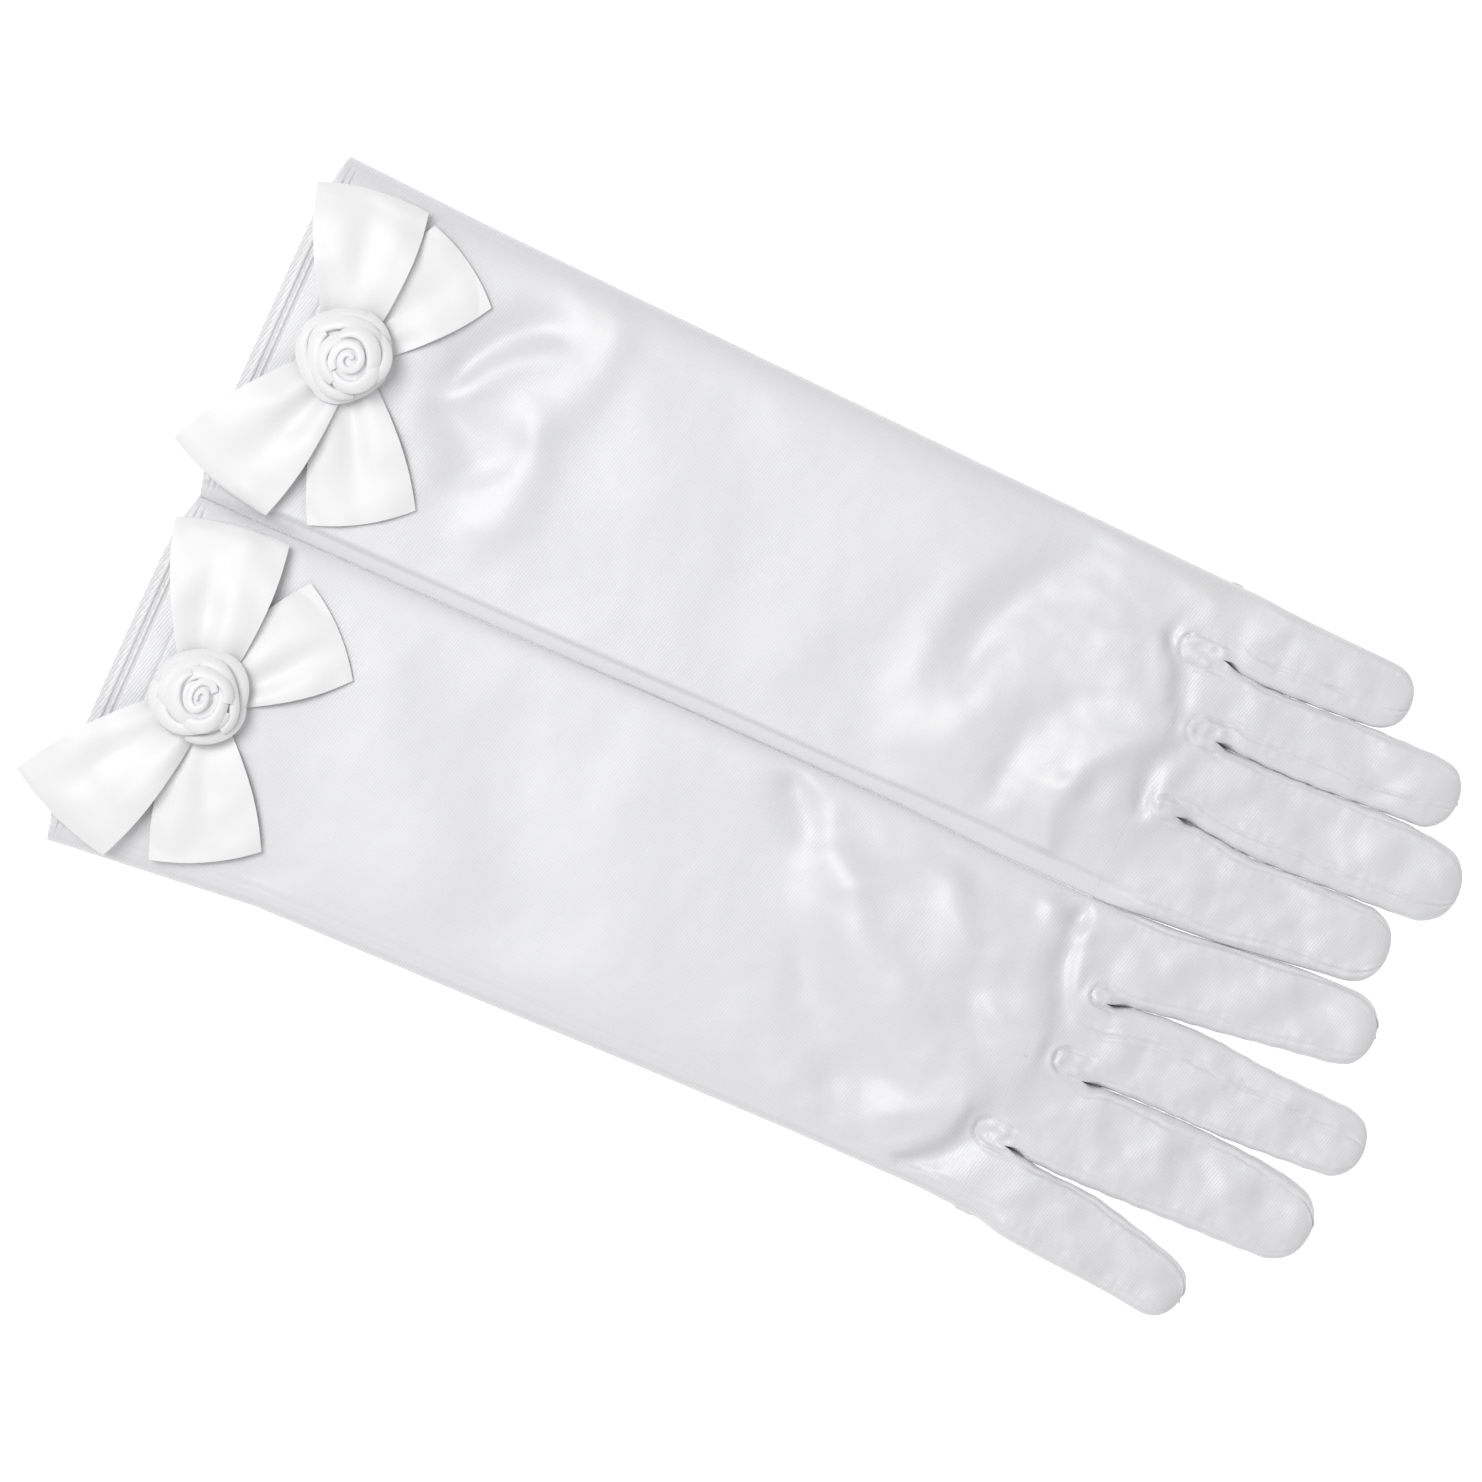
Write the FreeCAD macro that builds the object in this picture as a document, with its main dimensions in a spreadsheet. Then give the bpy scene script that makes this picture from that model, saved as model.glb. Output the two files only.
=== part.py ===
# A pair of elbow-length stretch-satin gloves, laid flat side by side with their backs up.
#
# Frame: +X runs along the gloves to the fingertips, +Y to the left glove, +Z up from the surface.
# The origin is at the bottom centre of the pair. Lengths are in millimetres, angles in degrees.
# Each glove is drawn from its cuff (x = 0) and from its index-finger edge (v = 0, v grows to the
# little finger), so the left glove has y = v and the right glove has y = -v.
import FreeCAD, Part
import math
import os

import Sketcher

os.makedirs("parts", exist_ok=True)

FINGERS = ("index", "middle", "ring", "little")
RIBBONS = ("loop_outer", "loop_inner", "tail_outer", "tail_inner")

# Driving dimensions, one spreadsheet cell each.
SIZES = {
    # the pair in its frame
    "cuff_to_origin": 159.2,
    "between_gloves": 0.8,
    # cloth
    "cloth": 0.7,
    "fold_radius": 3.4,
    "crown_rise": 2.2,
    # sleeve
    "cuff_width": 92.5,
    "wrist_width": 86.5,
    "wrist_at": 182.0,
    "wrist_room": 2.9,
    "hem_depth": 8.0,
    "hem_cloth": 0.5,
    "hem_gap": 0.12,
    "hem_taper": 0.4,
    "seam_width": 3.0,
    "seam_height": 0.8,
    # hand
    "knuckle_width": 84.5,
    "hand_end": 250.0,
    "thumb_zone_start": 197.0,
    "thumb_zone_end": 240.0,
    "knuckle_flat": 5.0,
    "palm_lift": 3.6,
    "gusset_length": 2.4,
    "gusset_width": 1.2,
    # fingers
    "knuckle_at": 252.0,
    "finger_room": 2.0,
    "finger_height": 6.6,
    # thumb
    "thumb_at": 203.0,
    "thumb_centre": 16.0,
    "thumb_angle": 33.0,
    "thumb_length": 42.0,
    "thumb_width": 19.0,
    "thumb_height": 3.2,
    "thumb_cloth": 0.6,
    "thumb_hole": 5.5,
    "thumb_hole_at": 7.5,
    # bow
    "bow_base": 9.3,
    "knot_radius": 11.4,
    "knot_height": 3.0,
    "ribbon_root": 12.0,
    "ribbon_root_width": 8.4,
    "loop_height": 4.2,
    "loop_bevel": 1.2,
    "loop_bulge_radius": 60.0,
    "tail_height": 1.6,
    "tail_bulge_radius": 34.0,
    # rose
    "rose_base": 0.8,
    "rose_bud_radius": 2.8,
    "rose_bud_height": 10.0,
    "inner_petal_radius": 5.6,
    "inner_petal_cloth": 0.9,
    "inner_petal_height": 8.4,
    "inner_petal_span": 104.0,
    "inner_petal_count": 3,
    "outer_ring_radius": 7.2,
    "outer_petal_radius": 9.8,
    "outer_petal_cloth": 1.2,
    "outer_petal_height": 5.6,
    "outer_petal_span": 76.0,
    "outer_petal_count": 4,
}

# Each finger's root centre across the hand, its width, its length from the knuckle line to the tip,
# and how far it fans out, positive to the little-finger side.
FINGER_SIZES = {
    "left": {
        "index": (14.0, 21.0, 67.0, 0.0),
        "middle": (36.0, 19.5, 76.0, 0.0),
        "ring": (56.0, 18.5, 66.7, 0.0),
        "little": (75.0, 17.5, 46.0, 0.0),
    },
    "right": {
        "index": (12.0, 20.5, 72.0, -5.0),
        "middle": (33.5, 19.5, 81.4, -1.5),
        "ring": (54.5, 19.5, 77.0, 0.0),
        "little": (75.5, 17.5, 54.3, 7.5),
    },
}

# Each bow's centre, and each ribbon's angle from the glove's axis, its reach and its end width.
BOW_CENTRES = {"left": (20.1, 46.4), "right": (22.0, 45.0)}
RIBBON_SIZES = {
    "left": {
        "loop_outer": (104.0, 40.5, 28.0),
        "loop_inner": (-112.0, 44.0, 29.5),
        "tail_outer": (61.0, 37.0, 24.0),
        "tail_inner": (-60.5, 41.0, 27.0),
    },
    "right": {
        "loop_outer": (117.0, 46.5, 31.0),
        "loop_inner": (-103.5, 42.5, 29.0),
        "tail_outer": (65.0, 40.0, 28.5),
        "tail_inner": (-50.5, 36.5, 26.0),
    },
}
SIDES = {"left": 1, "right": -1}

for glove in SIDES:
    for finger in FINGERS:
        for key, size in zip(("centre", "width", "length", "fan"), FINGER_SIZES[glove][finger]):
            SIZES[f"{glove}_{finger}_{key}"] = size
    for key, size in zip(("along", "across"), BOW_CENTRES[glove]):
        SIZES[f"{glove}_bow_{key}"] = size
    for ribbon in RIBBONS:
        for key, size in zip(("angle", "reach", "width"), RIBBON_SIZES[glove][ribbon]):
            SIZES[f"{glove}_{ribbon}_{key}"] = size

doc = FreeCAD.newDocument("gloves")
sheet = doc.addObject("Spreadsheet::Sheet", "Dims")
for row, (alias, size) in enumerate(SIZES.items(), start=1):
    sheet.set(f"A{row}", alias)
    sheet.set(f"B{row}", str(size))
    sheet.setAlias(f"B{row}", alias)
doc.recompute()

sub_parts = []


def dim(alias):
    """The sheet's cell, as it is written in an expression."""
    return f"Dims.{alias}"


def number(expression):
    """What an expression over the sheet comes to."""
    return float(sheet.evalExpression(str(expression)))


def new_body(name, at, turn="0"):
    """A sub-part's body, placed at (x, y, z) and turned about +Z; all are expressions."""
    body = doc.addObject("PartDesign::Body", name)
    body.Label = name
    body.AllowCompound = True
    x, y, z = at
    body.setExpression(
        "Placement",
        f"create(<<placement>>; create(<<vector>>; {x}; {y}; {z});"
        f" create(<<rotation>>; create(<<vector>>; 0; 0; 1); {turn}))",
    )
    sub_parts.append(body)
    return body


def new_sketch(body, name, role, offset="0"):
    """A sketch on one of the body's own origin planes, moved along the plane's normal."""
    sketch = body.newObject("Sketcher::SketchObject", f"{body.Name}_{name}")
    plane = next(f for f in body.Origin.OriginFeatures if f.Role == role)
    sketch.AttachmentSupport = [(plane, "")]
    sketch.MapMode = "FlatFace"
    sketch.setExpression("AttachmentOffset.Base.z", str(offset))
    return sketch


def bind(sketch, kind, *what):
    """Adds a constraint whose last value is an expression, and keeps it bound to that."""
    *where, expression = what
    index = sketch.addConstraint(Sketcher.Constraint(kind, *where, number(expression)))
    sketch.setExpression(f"Constraints[{index}]", str(expression))


def arc_between(start, end, radius, left):
    """The shorter arc from start to end, bulging left or right of the straight line."""
    chord = end - start
    half = chord.Length / 2
    normal = FreeCAD.Vector(-chord.y, chord.x, 0).normalize()
    away = math.sqrt(max(radius**2 - half**2, 0))
    centre = (start + end) / 2 + normal * (-away if left else away)
    angles = [math.atan2(p.y - centre.y, p.x - centre.x) for p in (start, end)]
    first, last = reversed(angles) if left else angles
    if last < first:
        last += 2 * math.pi
    return Part.ArcOfCircle(Part.Circle(centre, FreeCAD.Vector(0, 0, 1), radius), first, last)


def draw_loop(sketch, corners):
    """A closed outline. Each corner is (x, y) and, where an arc leaves it, (radius, bulges left)."""
    points = [FreeCAD.Vector(number(c[0]), number(c[1]), 0) for c in corners]
    ends = []
    for i, corner in enumerate(corners):
        start, end = points[i], points[(i + 1) % len(points)]
        if len(corner) == 2:
            edge = sketch.addGeometry(Part.LineSegment(start, end))
            ends.append((edge, 1, 2))
            continue
        radius, left = corner[2]
        edge = sketch.addGeometry(arc_between(start, end, number(radius), left))
        ends.append((edge, 2, 1) if left else (edge, 1, 2))
        bind(sketch, "Radius", edge, radius)
    for i, corner in enumerate(corners):
        edge, first, _ = ends[i]
        before, _, last = ends[i - 1]
        sketch.addConstraint(Sketcher.Constraint("Coincident", before, last, edge, first))
        bind(sketch, "DistanceX", -1, 1, edge, first, corner[0])
        bind(sketch, "DistanceY", -1, 1, edge, first, corner[1])


def draw_circle(sketch, x, y, radius):
    """A full circle."""
    centre = FreeCAD.Vector(number(x), number(y), 0)
    circle = Part.Circle(centre, FreeCAD.Vector(0, 0, 1), number(radius))
    edge = sketch.addGeometry(circle)
    bind(sketch, "Radius", edge, radius)
    bind(sketch, "DistanceX", -1, 1, edge, 3, x)
    bind(sketch, "DistanceY", -1, 1, edge, 3, y)


def pad(body, name, sketch, length):
    """Raises a sketch by a length along its plane's normal."""
    feature = body.newObject("PartDesign::Pad", f"{body.Name}_{name}")
    feature.Profile = sketch
    feature.setExpression("Length", str(length))
    sketch.Visibility = False
    return feature


def pocket(body, name, sketch, depth):
    """Cuts along +Z from a sketch below the solid, and proves that it took something away."""
    doc.recompute()
    before = body.Shape.Volume
    feature = body.newObject("PartDesign::Pocket", f"{body.Name}_{name}")
    feature.Profile = sketch
    feature.Reversed = True
    feature.setExpression("Length", str(depth))
    sketch.Visibility = False
    doc.recompute()
    if body.Shape.Volume > before - 1e-3:
        raise RuntimeError(f"{body.Label}: the pocket {name} cut nothing")
    return feature


def loft(body, name, sketches):
    """Straight walls from each sketch to the next."""
    feature = body.newObject("PartDesign::AdditiveLoft", f"{body.Name}_{name}")
    feature.Profile = sketches[0]
    feature.Sections = [(sketch, [""]) for sketch in sketches[1:]]
    feature.Ruled = True
    return feature


def crown_radius(width):
    """The radius of the shallow arch over the glove between its two rounded edges."""
    span = f"({width} - 2 * {dim('fold_radius')})"
    rise = dim("crown_rise")
    return f"({span}^2 / (8 * {rise}) + {rise} / 2)"


def arch_corners(side, width, base, inset):
    """The cloth's section, as corners from the index edge over the back to the other edge.

    inset moves it inwards from the glove's outer face.
    """
    fold = dim("fold_radius")
    radius = f"({fold} - {inset})"
    far = f"({width} - {fold})"
    left = side > 0
    path = [
        (fold, f"{base} + {inset}", (radius, left)),
        (inset, f"{base} + {fold}", (radius, left)),
        (fold, f"{base} + 2 * {fold} - {inset}", (crown_radius(width), left)),
        (far, f"{base} + 2 * {fold} - {inset}", (radius, left)),
        (f"({width} - {inset})", f"{base} + {fold}", (radius, left)),
        (far, f"{base} + {inset}"),
    ]
    return [(f"{side} * ({c[0]})", *c[1:]) for c in path]


def back_section(body, name, side, at, width, base):
    """The section of a back panel: an arch of cloth that turns under at both edges."""
    outer = arch_corners(side, width, base, "0")
    inner = arch_corners(side, width, base, dim("cloth"))
    backwards = []
    for i in range(len(inner) - 1, -1, -1):
        turn = inner[i - 1][2:] if i else ()
        backwards.append((*inner[i][:2], *((r, not left) for r, left in turn)))
    sketch = new_sketch(body, name, "YZ_Plane", at)
    draw_loop(sketch, outer + backwards)
    return sketch


def palm_section(body, name, side, at, width, base):
    """The section of a flat palm panel, between the turned edges of the back."""
    near = f"{side} * {dim('fold_radius')}"
    far = f"{side} * ({width} - {dim('fold_radius')})"
    top = f"{base} + {dim('cloth')}"
    sketch = new_sketch(body, name, "YZ_Plane", at)
    draw_loop(sketch, [(near, base), (far, base), (far, top), (near, top)])
    return sketch


def glove_origin(side):
    """Where a glove's cuff and index edge meet the surface."""
    return (f"-{dim('cuff_to_origin')}", f"{side} * {dim('between_gloves')} / 2", "0")


def in_glove(side, along, across, up):
    """A point of a glove in the pair's frame, as expressions."""
    x, y, z = glove_origin(side)
    return (f"{x} + {along}", f"{y} + {side} * {across}", f"{z} + {up}")


# ---- sleeve -------------------------------------------------------------------------------------


def make_sleeve(glove, side):
    """Back and palm panels, the turned hem inside the cuff, and the seam along the outer edge."""
    end = f"{dim('wrist_at')} - {dim('wrist_room')}"
    stations = [("cuff", "0", dim("cuff_width")), ("wrist", end, dim("wrist_width"))]
    back = new_body(f"{glove}_sleeve_back", glove_origin(side))
    loft(back, "cloth", [back_section(back, n, side, at, width, "0") for n, at, width in stations])

    palm = new_body(f"{glove}_sleeve_palm", glove_origin(side))
    sketch = new_sketch(palm, "plan", "XY_Plane")
    near = f"{side} * {dim('fold_radius')}"
    far = [(at, f"{side} * ({width} - {dim('fold_radius')})") for _, at, width in stations]
    draw_loop(sketch, [(stations[0][1], near), (stations[1][1], near), far[1], far[0]])
    pad(palm, "cloth", sketch, dim("cloth"))
    make_hem(glove, side)
    make_side_seam(glove, side, end)


def make_hem(glove, side):
    """The cuff's edge is turned inside as a second layer all round."""
    body = new_body(f"{glove}_cuff_hem", glove_origin(side))
    width = f"({dim('cuff_width')} - {dim('hem_taper')})"
    outside = f"({dim('cloth')} + {dim('hem_gap')})"
    inside = f"({outside} + {dim('hem_cloth')})"
    sketch = new_sketch(body, "ring", "YZ_Plane", dim("hem_gap"))
    for inset in (outside, inside):
        draw_loop(sketch, arch_corners(side, width, "0", inset))
    pad(body, "turned_edge", sketch, dim("hem_depth"))


def make_side_seam(glove, side, end):
    """The seam allowance that runs inside the little-finger edge, from the hem to the wrist."""
    body = new_body(f"{glove}_side_seam", glove_origin(side))
    start = f"({dim('hem_depth')} + 2 * {dim('hem_gap')})"
    fold = dim("fold_radius")
    corners = []
    for at, width in ((start, dim("cuff_width")), (f"({end})", dim("wrist_width"))):
        outer = f"({width} - {fold} - 2 * {dim('hem_gap')})"
        corners.append([(at, f"{side} * ({outer} - {dim('seam_width')})"), (at, f"{side} * {outer}")])
    sketch = new_sketch(body, "strip", "XY_Plane", dim("cloth"))
    draw_loop(sketch, [corners[0][0], corners[1][0], corners[1][1], corners[0][1]])
    pad(body, "allowance", sketch, dim("seam_height"))


# ---- hand ---------------------------------------------------------------------------------------


def make_hand(glove, side):
    """Back and palm panels that step up over the tucked thumb, and the crotch gussets."""
    start = f"({dim('wrist_at')} + {dim('wrist_room')})"
    flat = f"({dim('hand_end')} - {dim('knuckle_flat')})"
    length = f"({dim('hand_end')} - {start})"
    stations = [
        ("wrist", start, "0"),
        ("thumb_start", dim("thumb_zone_start"), dim("palm_lift")),
        ("thumb_end", dim("thumb_zone_end"), dim("palm_lift")),
        ("flat", flat, "0"),
        ("knuckles", dim("hand_end"), "0"),
    ]
    for part, section in (("back", back_section), ("palm", palm_section)):
        body = new_body(f"{glove}_hand_{part}", glove_origin(side))
        sketches = []
        for name, at, base in stations:
            share = f"(({at} - {start}) / {length})"
            width = f"({dim('wrist_width')} + ({dim('knuckle_width')} - {dim('wrist_width')}) * {share})"
            sketches.append(section(body, name, side, at, width, base))
        loft(body, "cloth", sketches)
        if part == "palm":
            cut_thumb_hole(body, side)
    make_gussets(glove, side)


def cut_thumb_hole(body, side):
    """The round opening that leads from the hand into the thumb."""
    reach = dim("thumb_hole_at")
    turn = f"{dim('thumb_angle')} * 1deg"
    sketch = new_sketch(body, "thumb_hole", "XY_Plane", "0")
    draw_circle(
        sketch,
        f"{dim('thumb_at')} + {reach} * cos({turn})",
        f"{side} * ({dim('thumb_centre')} + {reach} * sin({turn}))",
        dim("thumb_hole"),
    )
    pocket(body, "thumb_opening", sketch, f"2 * {dim('palm_lift')}")


def make_gussets(glove, side):
    """Three small diamond gussets that join back to palm between the finger roots."""
    body = new_body(f"{glove}_crotch_gussets", glove_origin(side))
    sketch = new_sketch(body, "diamonds", "XY_Plane", dim("cloth"))
    middle = f"{dim('hand_end')} - {dim('knuckle_flat')} / 2"
    half_length = f"{dim('gusset_length')} / 2"
    half_width = f"{dim('gusset_width')} / 2"
    for near, far in zip(FINGERS, FINGERS[1:]):
        across = f"{side} * ({dim(f'{glove}_{near}_centre')} + {dim(f'{glove}_{far}_centre')}) / 2"
        draw_loop(
            sketch,
            [
                (f"{middle} - {half_length}", across),
                (middle, f"{across} - {half_width}"),
                (f"{middle} + {half_length}", across),
                (middle, f"{across} + {half_width}"),
            ],
        )
    pad(body, "webs", sketch, f"2 * ({dim('fold_radius')} - {dim('cloth')})")


# ---- fingers and thumb --------------------------------------------------------------------------


def finger_outline(start, length, width, tip_inset="0", side_inset="0"):
    """The plan of a finger or thumb: straight sides and a round tip."""
    half = f"({width} / 2 - {side_inset})"
    round_tip = f"({width} / 2 - {tip_inset})"
    bend = f"({length} - {width} / 2)"
    quarter = (round_tip, False)
    corners = [(start, f"-{half}")]
    if side_inset != tip_inset:
        corners.append((bend, f"-{half}"))
    corners.append((bend, f"-{round_tip}", quarter))
    corners.append((f"({length} - {tip_inset})", "0", quarter))
    corners.append((bend, round_tip))
    if side_inset != tip_inset:
        corners.append((bend, half))
    corners.append((start, half))
    return corners


def make_finger(glove, side, finger):
    """A finger's palm side, its back with the closed tip, and the two strips between them."""
    size = {k: dim(f"{glove}_{finger}_{k}") for k in ("centre", "width", "length", "fan")}
    at = in_glove(side, dim("knuckle_at"), size["centre"], "0")
    turn = f"{side} * {size['fan']}"
    cloth = dim("cloth")
    start = dim("finger_room")
    plan = finger_outline(start, size["length"], size["width"])

    palm = new_body(f"{glove}_{finger}_palm", at, turn)
    sketch = new_sketch(palm, "plan", "XY_Plane")
    draw_loop(sketch, plan)
    pad(palm, "cloth", sketch, cloth)

    back = new_body(f"{glove}_{finger}_back", at, turn)
    sketch = new_sketch(back, "plan", "XY_Plane", cloth)
    draw_loop(sketch, plan)
    pad(back, "block", sketch, f"{dim('finger_height')} - {cloth}")
    sketch = new_sketch(back, "inside", "XY_Plane", "0")
    draw_loop(sketch, finger_outline("0", size["length"], size["width"], cloth, f"-{cloth}"))
    pocket(back, "hollow", sketch, f"{dim('finger_height')} - {cloth}")

    strips = new_body(f"{glove}_{finger}_fourchettes", at, turn)
    sketch = new_sketch(strips, "plan", "XY_Plane", cloth)
    end = f"({size['length']} - {size['width']} / 2)"
    for sign in (1, -1):
        outer = f"{sign} * {size['width']} / 2"
        inner = f"{sign} * ({size['width']} / 2 - {cloth})"
        draw_loop(sketch, [(start, inner), (end, inner), (end, outer), (start, outer)])
    pad(strips, "cloth", sketch, f"{dim('finger_height')} - 2 * {cloth}")


def make_thumb(glove, side):
    """The flattened thumb under the palm: a lower side and an upper side that holds the seam."""
    at = in_glove(side, dim("thumb_at"), dim("thumb_centre"), "0")
    turn = f"{side} * {dim('thumb_angle')}"
    cloth = dim("thumb_cloth")
    plan = finger_outline("0", dim("thumb_length"), dim("thumb_width"))

    lower = new_body(f"{glove}_thumb_front", at, turn)
    sketch = new_sketch(lower, "plan", "XY_Plane")
    draw_loop(sketch, plan)
    pad(lower, "cloth", sketch, cloth)

    upper = new_body(f"{glove}_thumb_back", at, turn)
    sketch = new_sketch(upper, "plan", "XY_Plane", cloth)
    draw_loop(sketch, plan)
    pad(upper, "block", sketch, f"{dim('thumb_height')} - {cloth}")
    sketch = new_sketch(upper, "inside", "XY_Plane", "0")
    draw_loop(sketch, finger_outline(cloth, dim("thumb_length"), dim("thumb_width"), cloth, cloth))
    pocket(upper, "hollow", sketch, f"{dim('thumb_height')} - {cloth}")
    sketch = new_sketch(upper, "root_hole", "XY_Plane", "0")
    draw_circle(sketch, dim("thumb_hole_at"), "0", dim("thumb_hole"))
    pocket(upper, "root_opening", sketch, f"2 * {dim('thumb_height')}")


# ---- bow and rose -------------------------------------------------------------------------------


def make_ribbon(glove, side, ribbon):
    """A folded loop or a flat tail, narrow at the knot and flared at its end."""
    kind = ribbon.split("_")[0]
    size = {k: dim(f"{glove}_{ribbon}_{k}") for k in ("angle", "reach", "width")}
    height = dim(f"{kind}_height")
    bow = (dim(f"{glove}_bow_along"), dim(f"{glove}_bow_across"), dim("bow_base"))
    body = new_body(f"{glove}_bow_{ribbon}", in_glove(side, *bow), f"{side} * {size['angle']}")
    root, half_root = dim("ribbon_root"), f"{dim('ribbon_root_width')} / 2"
    half_end = f"{size['width']} / 2"
    sketch = new_sketch(body, "plan", "XY_Plane")
    draw_loop(
        sketch,
        [
            (root, f"-{half_root}"),
            (size["reach"], f"-{half_end}", (dim(f"{kind}_bulge_radius"), False)),
            (size["reach"], half_end),
            (root, half_root),
        ],
    )
    block = pad(body, "ribbon", sketch, height)
    if kind == "loop":
        doc.recompute()
        top = number(height)
        edges = [
            f"Edge{i}"
            for i, edge in enumerate(block.Shape.Edges, start=1)
            if all(abs(v.Z - top) < 1e-6 for v in edge.Vertexes)
        ]
        bevel = body.newObject("PartDesign::Chamfer", f"{body.Name}_bevel")
        bevel.Base = (block, edges)
        bevel.setExpression("Size", dim("loop_bevel"))
        doc.recompute()
        if not 0.8 * block.Shape.Volume < bevel.Shape.Volume < block.Shape.Volume:
            raise RuntimeError(f"{body.Label}: the bevel went wrong")


def petal_ring(body, base_radii, radius, cloth, height, span, count):
    """A thin base with curved petals standing on it, evenly spaced."""
    sketch = new_sketch(body, "base_plan", "XY_Plane")
    for base_radius in base_radii:
        draw_circle(sketch, "0", "0", base_radius)
    pad(body, "base", sketch, dim("rose_base"))
    inner = f"({radius} - {cloth} / 2)"
    outer = f"({radius} + {cloth} / 2)"
    turn = f"{span} / 2 * 1deg"
    sketch = new_sketch(body, "petal_plan", "XY_Plane", dim("rose_base"))
    draw_loop(
        sketch,
        [
            (f"{outer} * cos({turn})", f"-{outer} * sin({turn})", (outer, False)),
            (f"{outer} * cos({turn})", f"{outer} * sin({turn})"),
            (f"{inner} * cos({turn})", f"{inner} * sin({turn})", (inner, True)),
            (f"{inner} * cos({turn})", f"-{inner} * sin({turn})"),
        ],
    )
    petal = pad(body, "petal", sketch, height)
    pattern = body.newObject("PartDesign::PolarPattern", f"{body.Name}_petals")
    pattern.Originals = [petal]
    axis = next(f for f in body.Origin.OriginFeatures if f.Role == "Z_Axis")
    pattern.Axis = (axis, [""])
    pattern.Angle = 360
    pattern.setExpression("Occurrences", count)
    body.Tip = pattern


def make_bow(glove, side):
    """The gathered knot, four ribbons and the rolled rose that covers the knot."""
    bow = (dim(f"{glove}_bow_along"), dim(f"{glove}_bow_across"))
    rose_at = f"({dim('bow_base')} + {dim('knot_height')})"

    knot = new_body(f"{glove}_bow_knot", in_glove(side, *bow, dim("bow_base")))
    sketch = new_sketch(knot, "plan", "XY_Plane")
    draw_circle(sketch, "0", "0", dim("knot_radius"))
    pad(knot, "gathers", sketch, dim("knot_height"))

    for ribbon in RIBBONS:
        make_ribbon(glove, side, ribbon)

    inner = new_body(f"{glove}_rose_inner_petals", in_glove(side, *bow, rose_at))
    petal_ring(
        inner,
        [f"({dim('outer_ring_radius')} - {dim('hem_gap')})"],
        *(dim(f"inner_petal_{k}") for k in ("radius", "cloth", "height", "span", "count")),
    )
    outer = new_body(f"{glove}_rose_outer_petals", in_glove(side, *bow, rose_at))
    petal_ring(
        outer,
        [f"({dim('outer_petal_radius')} + {dim('outer_petal_cloth')})", dim("outer_ring_radius")],
        *(dim(f"outer_petal_{k}") for k in ("radius", "cloth", "height", "span", "count")),
    )
    bud = new_body(
        f"{glove}_rose_bud", in_glove(side, *bow, f"({rose_at} + {dim('rose_base')})")
    )
    sketch = new_sketch(bud, "plan", "XY_Plane")
    draw_circle(sketch, "0", "0", dim("rose_bud_radius"))
    pad(bud, "roll", sketch, dim("rose_bud_height"))


# ---- the pair -----------------------------------------------------------------------------------

for glove, side in SIDES.items():
    make_sleeve(glove, side)
    make_hand(glove, side)
    for finger in FINGERS:
        make_finger(glove, side, finger)
    make_thumb(glove, side)
    make_bow(glove, side)

doc.recompute()
for thing in doc.Objects:
    if {"Invalid", "Error"} & set(thing.State):
        raise RuntimeError(f"{thing.Name} ({thing.Label}) failed: {thing.State}")
for body in sub_parts:
    if body.Shape.isNull() or not body.Shape.isValid() or body.Shape.Volume <= 0:
        raise RuntimeError(f"{body.Label} has no valid solid")
for body in sub_parts:
    body.Shape.exportStep(f"parts/{body.Label}.step")
print(f"{len(sub_parts)} sub-parts written")
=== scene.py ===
import math

import bmesh
import bpy
import numpy as np
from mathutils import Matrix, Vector, noise


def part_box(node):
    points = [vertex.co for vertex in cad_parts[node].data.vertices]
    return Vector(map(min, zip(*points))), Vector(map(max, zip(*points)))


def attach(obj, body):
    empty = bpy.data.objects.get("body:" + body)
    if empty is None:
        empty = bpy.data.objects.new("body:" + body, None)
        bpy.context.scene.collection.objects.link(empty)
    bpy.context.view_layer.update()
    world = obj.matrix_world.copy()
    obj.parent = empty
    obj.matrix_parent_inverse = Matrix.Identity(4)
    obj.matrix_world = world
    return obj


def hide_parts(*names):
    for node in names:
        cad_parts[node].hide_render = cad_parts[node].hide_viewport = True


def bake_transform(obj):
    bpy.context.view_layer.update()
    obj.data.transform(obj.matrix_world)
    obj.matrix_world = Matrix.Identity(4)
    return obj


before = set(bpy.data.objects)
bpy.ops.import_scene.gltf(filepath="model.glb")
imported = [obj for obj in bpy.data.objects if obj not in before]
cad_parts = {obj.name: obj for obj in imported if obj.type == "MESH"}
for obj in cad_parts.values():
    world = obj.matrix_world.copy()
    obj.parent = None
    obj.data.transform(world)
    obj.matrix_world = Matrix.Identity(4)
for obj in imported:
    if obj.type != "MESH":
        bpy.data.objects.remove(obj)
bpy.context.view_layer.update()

MM = 0.001
FINGERS = ("index", "middle", "ring", "little")
RIBBONS = ("loop_outer", "loop_inner", "tail_outer", "tail_inner")
SIDES = {"left": 1, "right": -1}
CUFF_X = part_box("left_sleeve_back")[0].x
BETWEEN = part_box("left_sleeve_back")[0].y
KNUCKLE = 246.0  # where the hand's cloth is divided from the fingers'
HIGH = 5.8  # how high the flattened tube of the glove lies
SHARP = math.radians(52)  # edges that turn more than this stay sharp
# How thick each cloth is.
CLOTH = 0.45
THUMB_CLOTH = 0.4
RIBBON_CLOTH = 0.28
BUD_CLOTH = 0.26
OUTER_PETAL_CLOTH = 0.30

# ---- measures of each glove, in millimetres -----------------------------------------------------

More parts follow.
